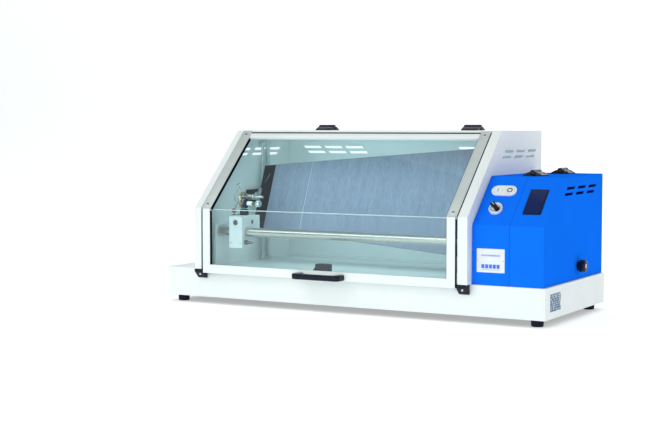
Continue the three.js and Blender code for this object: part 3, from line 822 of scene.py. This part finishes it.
def bolt_ring(x, z, radius=22):
    """Four places around an axis at the board's depth, facing right."""
    return [along_x(BOARD_Y + radius * cos(a), z + radius * sin(a), x)
            for a in (tau * (i + 0.5) / 4 for i in range(4))]


def make_drive():
    refine("drive_plate", TURNED, 0.4)
    low, high = BOX["motor_pulley"]
    for node, body, z, teeth in (("motor_pulley", "motor_pulley", MOTOR_Z, 22),
                                 ("shaft_pulley", "spindle", BOARD_Z, 44)):
        r = (BOX[node][1].y - BOX[node][0].y) / 2
        bore = 5.3 if node == "motor_pulley" else 6.3

        def pulley(bm):
            cut, groove = toothed(teeth, 1.0), r - 0.6
            profile = [(bore, low.x), (r, low.x), (r, low.x + 0.8), (groove, low.x + 1),
                       (groove, high.x - 1), (r, high.x - 0.8), (r, high.x), (bore + 4, high.x),
                       (bore + 3, high.x - 1), (bore, high.x - 1)]
            ring_lathe(bm, profile, along_x(BOARD_Y, z), teeth * 6,
                       lambda a, q, h: cut(a, q, h) if q == groove else q)

        piece(f"{node}_fine", body, TURNED, pulley, (node,))
    refine("drive_belt", BELT, 0.3)
    motor = BOX["board_motor"]
    front = 821.7

    def motor_body(bm):
        profile = [(0, motor[0].x), (30, motor[0].x), (34, motor[0].x + 2), (36, motor[0].x + 5),
                   (36, motor[0].x + 6.5), (36, front - 23.5), (36, front - 22), (34, front - 21),
                   (34, front - 19), (36, front - 18), (36, front), (0, front)]
        def ribs(a, r, h):
            return r - (1.4 if sin(18 * a) > 0.3 and motor[0].x + 6 < h < front - 23 else 0)

        lathe(bm, profile, along_x(BOARD_Y, MOTOR_Z), 144, ribs)
        lathe(bm, [(0, front - 0.7), (5, front - 0.7), (5, high.x - 0.5), (4.5, high.x),
            (0, high.x)],
              along_x(BOARD_Y, MOTOR_Z), 24)

    piece("board_motor_fine", "root", BLACK, motor_body, ("board_motor",))
    screws("motor_bolts", "root", bolt_ring(826, MOTOR_Z), 4.0, 3.0)
    face = BOX["shaft_bearing"][0].x

    def bearing(bm):
        ring_lathe(bm, [(6.3, face), (26, face), (26, face + 4), (25, face + 5), (18.5, face + 5),
                        (18, face + 12.5), (16.5, face + 14), (12, face + 14), (11.5, face + 13),
                        (9, face + 13), (8.5, face + 14), (6.3, face + 14)],
                        along_x(BOARD_Y, BOARD_Z), 56)

    piece("shaft_bearing_fine", "root", STEEL, bearing, ("shaft_bearing",))
    screws("bearing_bolts", "root", bolt_ring(face + 5, BOARD_Z), 2.6, 2.0)
    refine("traverse_motor", BLACK, 0.6, 2, [(
        lambda e: abs(e.verts[0].co.x - e.verts[1].co.x) > 20, 6.0, 4)])
    low, high = BOX["board_shaft"]
    piece("board_shaft_fine", "spindle", STEEL, lambda bm: lathe(
        bm, bar(low.x, high.x, 6, 0.8), along_x(BOARD_Y, BOARD_Z), 40), ("board_shaft",))
    refine("power_inlet", BLACK, 0.6, 3)

    def pins(bm):
        rear = BOX["power_inlet"][1].y
        for x, z in ((846.5, 29), (857.5, 29), (852, 35)):
            block(bm, (x - 1, x + 1), (rear - 16.5, rear - 5), (z - 2, z + 2))

    piece("inlet_pins", "root", BRASS, pins, width=0.4)


# ---- Board and winding ----
def board_half(x):
    low, high = 119.3, 695.0
    return 75.9 + (126.0 - 75.9) * (x - low) / (high - low)


def make_board():
    refine("yarn_board", BOARD_BLACK, 0.5)
    refine("board_clamp", TURNED, 0.6, 3)
    refine("tail_clamp", TURNED, 0.6, 3)
    for name, body, x, zs in (("board_clamp_screws", "spindle", 690, (-24, 24)),
                              ("tail_clamp_screws", "tail_clamp", 122.5, (-12, 12))):
        depth = 7.0 if body == "spindle" else 6.0
        spots = [SPINDLE @ facing((x, -depth, z), (0, -1, 0)) for z in zs]
        screws(name, body, spots, 2.6, 1.8)

    start, end = WINDING_START, WINDING_END
    pitch, samples = 1.25, 4
    thickness, over = 2.35, 1.0

    def winding(bm):
        chance = random.Random(11)
        columns = int((end - start) / pitch * samples)
        turns = [chance.uniform(-1, 1) for _ in range(columns // samples + 2)]
        rings = []
        for i in range(columns + 1):
            x = start + (end - start) * i / columns
            phase = i / samples
            lift = 0.22 * abs(sin(pi * phase)) + 0.06 * turns[int(phase)]
            half = board_half(x) + over
            t = thickness + lift - 0.2
            ring = []
            for k in range(9):
                a = pi * k / 8
                ring.append((x, t * cos(a), half - t + t * sin(a)))
            for k in range(9):
                a = pi * k / 8
                ring.append((x, -t * cos(a), -half + t - t * sin(a)))
            rings.append(put(bm, SPINDLE, ring))
        skin(bm, rings, cap=False)
        slot = 1.65
        for ring, x in ((rings[0], start), (rings[-1], end)):
            half = board_half(x) + 0.2
            hole = put(bm, SPINDLE, [(x, slot * sx, half * sz) for sx, sz in (
                [(1, 1)] * 5 + [(-1, 1)] * 4 + [(-1, -1)] * 5 + [(1, -1)] * 4)])
            count = len(ring)
            for k in range(count):
                j = (k + 1) % count
                bm.faces.new((ring[k], ring[j], hole[j], hole[k]))
        bmesh.ops.remove_doubles(bm, verts=bm.verts, dist=1e-4)

    piece("wound_yarn", "spindle", YARN, winding, ("yarn_winding",), degrees=80)

    face = -(thickness + 0.45)

    def strands(bm):
        path = [(251, face, 96), (250, face, 84), (248.6, face, 20), (247.6, face, -44),
            (248.6, face, -80)]
        tube(bm, [SPINDLE @ Vector(p) for p in path], 0.55, 8)
        tube(bm, [(138.5, 219, 270.5), (121.0, 204.6, 232.8)], 0.32, 8)

    piece("yarn_strands", "spindle", STRAND, strands)


# ---- Tailstock and traverse ----
def make_tailstock():
    def column(bm):
        load_node(bm, "tailstock_column")
        soften(bm, 0.3, 2)
        for face in bm.faces:
            face.material_index = int(200 < face.calc_center_median().z < 236)

    piece("tailstock_column_fine", "root", [TUBES, BLACK], column, ("tailstock_column",))
    low, high = BOX["tail_plunger"]
    local = along_x(BOARD_Y, BOARD_Z)
    piece("tail_plunger_fine", "tail_plunger", SHINY_BLACK, lambda bm: lathe(
        bm, [(0, low.x), (9, low.x), (12.6, low.x + 1.2), (14, low.x + 3.4), (14, low.x + 13),
        (13, low.x + 14.6),
             (9, low.x + 16), (8, low.x + 18.2), (5, low.x + 18.6), (5, high.x - 0.8),
             (4.2, high.x), (0, high.x)],
        local, 56, lambda a, r, h: r - 0.5 * (r > 12) * (0.5 + 0.5 * cos(16 * a))),
        ("tail_plunger",))


def make_traverse():
    low, high = BOX["guide_rod"]
    rod = along_x(ROD_Y, TRAVERSE_Z)
    piece("guide_rod_fine", "root", STEEL, lambda bm: lathe(
        bm, bar(low.x, high.x, 10, 1.2), rod, 72), ("guide_rod",))
    low, high = BOX["traverse_screw"]
    screw_axis = along_x(SCREW_Y, TRAVERSE_Z)
    pitch, outer, depth, core = 5.0, 5.95, 1.1, 4.7

    def thread(bm):
        steps, levels = 20, int((high.x - low.x - 8) / (pitch / 6))
        rings = []
        for i in range(levels + 1):
            x = low.x + 4 + (high.x - low.x - 8) * i / levels
            ring = []
            for k in range(steps):
                a = tau * k / steps
                wave = sin(tau * (x / pitch) - a)
                r = outer - depth * (0.5 + 0.5 * tanh(2.5 * wave))
                ring.append((r * cos(a), r * sin(a), x))
            rings.append(put(bm, screw_axis, ring))
        turn = [tau * k / steps for k in range(steps)]
        ends = [put(bm, screw_axis, [(core * cos(a), core * sin(a), x) for a in turn])
                for x in (low.x, high.x)]
        skin(bm, [ends[0], *rings, ends[1]])

    piece("traverse_screw_fine", "traverse_screw", DARK_STEEL_AND_SHADE, thread, ("traverse_screw",),
        degrees=60)
    refine("rod_left_bracket", WHITE, 0.6, 3)

    block_low, block_high = BOX["carriage_block"]
    refine("carriage_block", PALE, 0.35, 2, [(
        lambda e: e.calc_length() > 30 and abs(middle(e).z - TRAVERSE_Z) > 12, 1.0, 3)])
    front, right = block_low.y, block_high.x

    # Painted shade in the carriage's two holes: a dark disc near the bottom of the front hole, and
    # a dark hex plug, drawn as a grub screw, filling the side socket.
    def hole_shade(bm):
        lathe(bm, [(0, -5.6), (6.3, -5.6), (6.3, -4.2), (5.6, -3.6), (0, -3.6)],
              facing((181.5, front, HOLE_Z), (0, -1, 0)), 32)
        lathe(bm, [(0, -4.6), (5.3, -4.6), (5.3, -1.2), (4.7, -0.6), (0, -0.6)],
              along_x(46, HOLE_Z, right), 6)

    piece("carriage_hole_shade", "carriage", DARK_STEEL_AND_SHADE, hole_shade)
    pin = along_x(17, 125)

    def guide_pin(bm):
        lathe(bm, [(0, right - 0.5), (5.4, right - 0.5), (5.4, right + 5), (4.6, right + 5.8),
            (3.4, right + 6),
                   (3.4, right + 14), (2.6, right + 16), (0.8, right + 21.5), (0, right + 22)], pin,
                   24)

    piece("carriage_pin", "carriage", DARK_STEEL_AND_SHADE, guide_pin)
    spots = [facing((x, front, 124), (0, -1, 0)) for x in (block_low.x + 5, right - 5)]
    screws("carriage_screws", "carriage", spots, 1.8, 0.7)


def helix(centre, radius, pitch, turns, steps=16):
    """Points of a coil along X."""
    points = []
    for i in range(int(turns * steps) + 1):
        a = tau * i / steps
        points.append((centre[0] + pitch * i / steps,
                       centre[1] + radius * cos(a), centre[2] + radius * sin(a)))
    return points


def make_tensioner():
    """A black base, a back plate with a brass rim, two disc posts, a spring and a knurled knob."""
    top = BOX["carriage_block"][1].z
    lower, upper, plate = (48.0, 209.6), (60.0, 224.2), (54.0, 217.0)

    def base(bm):
        block(bm, (167, 181), (44, 60), (top + 0.3, 194.5))
        block(bm, (167.6, 179), (45, 59), (194.5, 196.5))

    piece("tensioner_base", "carriage", BLACK, base, width=0.8)

    def back(bm):
        lathe(bm, [(0, 169), (16.8, 169), (17.2, 169.4), (17.2, 171.6), (16.8, 172), (0, 172)],
            along_x(*plate), 64)
        block(bm, (169, 172), (46.5, 61.5), (196.6, 206))

    def posts(bm):
        lathe(bm, [(0, 171.5), (2.5, 171.5), (2.5, 217.6), (1.9, 218.3), (0, 218.3)],
            along_x(*lower), 28)
        lathe(bm, [(0, 171.5), (5.7, 171.5), (5.7, 193.8), (3.2, 194), (3.2, 218), (2.6, 219),
            (0, 219)],
              along_x(*upper), 36)
        lathe(bm, [(5.75, 192.6), (6.4, 192.6), (6.6, 193), (6.6, 196.4), (6.2, 197), (3.3, 197)],
            along_x(*upper), 36)

    piece("tensioner_plate", "carriage", CHROME, back, ("tensioner_bracket",))
    piece("tensioner_rim", "carriage", BRASS, lambda bm: ring_lathe(
        bm, [(16.2, 172.1), (17.3, 169.2), (18.3, 169.4), (18.4, 173), (17.6, 174.4),
        (16.2, 174.6)], along_x(*plate), 64))
    piece("tensioner_posts", "carriage", TURNED, posts)
    piece("tension_spring", "carriage", BRASS, lambda bm: tube(
        bm, helix((198.6, *lower), 3.1, 1.5, 6.0), 0.4, 8))
    piece("spring_sleeve", "carriage", PALE, lambda bm: ring_lathe(
        bm, [(2.6, 185.6), (3.0, 185.6), (4.5, 185.8), (4.8, 186.4), (4.8, 197.2), (4.5, 197.9),
        (2.6, 198)],
        along_x(*lower), 40))
    piece("tension_disc_fine", "tension_disc", SHINY_BLACK, lambda bm: ring_lathe(
        bm, [(2.8, 181.8), (8.2, 181.8), (11.3, 180.8), (11.5, 181.3), (11.2, 182.2), (8.4, 184.3),
        (5, 185),
             (2.8, 185)], along_x(*lower), 56), ("tension_disc",))

    def knurl(bm):
        def ribs(a, r, h):
            return r - 0.3 * (r > 7.1) * (0.5 + 0.5 * cos(36 * a))

        profile = [(2.8, 208.1), (6.2, 208.1), (7.2, 209.2), (7.3, 213), (7.2, 217.9), (6.2, 219),
                   (3.8, 219), (3.2, 218.4), (2.8, 218.4)]
        ring_lathe(bm, profile, along_x(*lower), 144, ribs)

    piece("tension_knob_fine", "tension_knob", CHROME, knurl, ("tension_knob",))
    eyelet = facing((154.5, 40, 193.2), (0, -1, 0))

    def guide_ring(bm):
        ring_lathe(bm, [(3.6 + 1.5 * cos(a),
            2.8 * sin(a)) for a in (tau * k / 12 for k in range(12))],
                   eyelet, 36)

    piece("yarn_eyelet", "carriage", RED, guide_ring)

    def wires(bm):
        block(bm, (151, 167), (35, 45), (top + 0.4, top + 1.8))
        tube(bm, [(154.5, 40, top + 1), (154.5, 40, 188.6)], 1.5, 12)
        tube(bm, [(155, 41, 198.3), (159, 43, 201), (154, 44, 204), (160, 46, 207), (157, 48, 210),
                  (166, 50, 212), (169.5, 51, 212)], 0.85, 10)

    def pigtail(bm):
        tube(bm, [(170.5, 56, 233.5), (167, 55, 238), (162, 54, 241), (160, 54, 245),
            (162, 55, 250),
                  (161, 56, 253), (156, 57, 253.5), (151, 57, 250)], 0.95, 10)
        tube(bm, [(160, 54, 243), (154, 53, 236), (150, 52, 228), (149, 52, 220), (152, 51, 213)],
            0.95, 10)

    piece("eyelet_wires", "carriage", DARK_STEEL_AND_SHADE, wires)
    piece("yarn_pigtail", "carriage", CHROME, pigtail)


# ---- Stage ----
def plain(name, colour):
    """An even matt colour with a little light of its own, for the floor and backdrop."""
    n = Nodes(name)
    n.surface(colour, 0.9, Emission_Color=(*colour, 1), Emission_Strength=0.42)
    return n.material


def make_stage():
    bm = bmesh.new()
    reach, wall, rise, bend = 30.0, 5.0, 5.0, 2.0
    profile = [(-reach, 0.0), (wall - bend, 0.0)]
    profile += [(wall - bend + bend * sin(a), bend - bend * cos(a))
                for a in (pi / 2 * k / 12 for k in range(1, 13))]
    profile.append((wall, rise))
    rows = [[bm.verts.new((x, y, z)) for y, z in profile] for x in (-reach, reach)]
    for i in range(len(profile) - 1):
        bm.faces.new((rows[0][i], rows[1][i], rows[1][i + 1], rows[0][i + 1]))
    for face in bm.faces:
        face.smooth = True
    mesh = bpy.data.meshes.new("backdrop")
    bm.to_mesh(mesh)
    bm.free()
    mesh.materials.append(plain("pale floor", (0.93, 0.94, 0.945)))
    backdrop = bpy.data.objects.new("backdrop", mesh)
    bpy.context.scene.collection.objects.link(backdrop)


def soft_light(name, place, target, size, watts, colour=(1, 1, 1)):
    """A rectangular area light at the place, aimed at the target, in metres."""
    light = bpy.data.lights.new(name, "AREA")
    light.shape = "RECTANGLE"
    light.size, light.size_y = size
    light.energy = watts
    light.color = colour
    obj = bpy.data.objects.new(name, light)
    obj.location = place
    obj.rotation_euler = (Vector(target) - Vector(place)).to_track_quat("-Z", "Y").to_euler()
    bpy.context.scene.collection.objects.link(obj)
    return obj


def make_lights():
    world = bpy.data.worlds.new("studio")
    world.use_nodes = True
    background = world.node_tree.nodes["Background"]
    background.inputs["Color"].default_value = (0.96, 0.99, 1.0, 1)
    background.inputs["Strength"].default_value = 0.42
    bpy.context.scene.world = world
    centre = (0.0, 0.0, 0.15)
    soft_light("key", (-1.3, -2.6, 2.5), centre, (2.6, 1.8), 34, (0.93, 0.99, 1.0))
    soft_light("front fill", (0.2, -3.8, 0.9), centre, (3.2, 1.4), 34, (0.92, 0.985, 1.0))
    soft_light("top", (0.2, 0.6, 3.0), centre, (3.0, 2.4), 8)
    # Light between the cabin's walls, which is not seen itself and not mirrored by the window.
    cyan = (0.72, 0.96, 1.0)
    glows = [
        soft_light("cabin glow", (-0.045, -0.094, 0.284), (-0.045, 0.606, -0.436), (0.54, 0.19),
        0.34, cyan),
        soft_light("rear glow", (-0.045, 0.095, 0.22), (-0.045, 1.0, 0.20), (0.54, 0.24), 0.22,
        cyan),
    ]
    for glow in glows:
        glow.visible_camera = glow.visible_glossy = False
    soft_light("right fill", (3.2, -0.4, 1.4), centre, (1.6, 1.6), 8.5, (1.0, 0.99, 0.8))
    soft_light("backdrop wash", (0.0, 2.2, 3.4), (0.0, 4.6, 1.0), (5.0, 1.5), 30)


def make_camera():
    camera = bpy.data.cameras.new("camera")
    camera.sensor_width = 36.0
    camera.lens = 76.79
    camera.clip_end = 60.0
    obj = bpy.data.objects.new("camera", camera)
    obj.location = (1.4150, -2.7236, 0.3958)
    obj.rotation_euler = (radians(86.3), 0.0, radians(29.8))
    bpy.context.scene.collection.objects.link(obj)
    bpy.context.scene.camera = obj
    bpy.context.scene.view_settings.view_transform = "Standard"


make_camera()
make_base()
make_cabin()
make_lid()
make_hinges()
make_housing()
make_controls()
make_side_label()
make_drive()
make_board()
make_tailstock()
make_traverse()
make_tensioner()
make_stage()
make_lights()
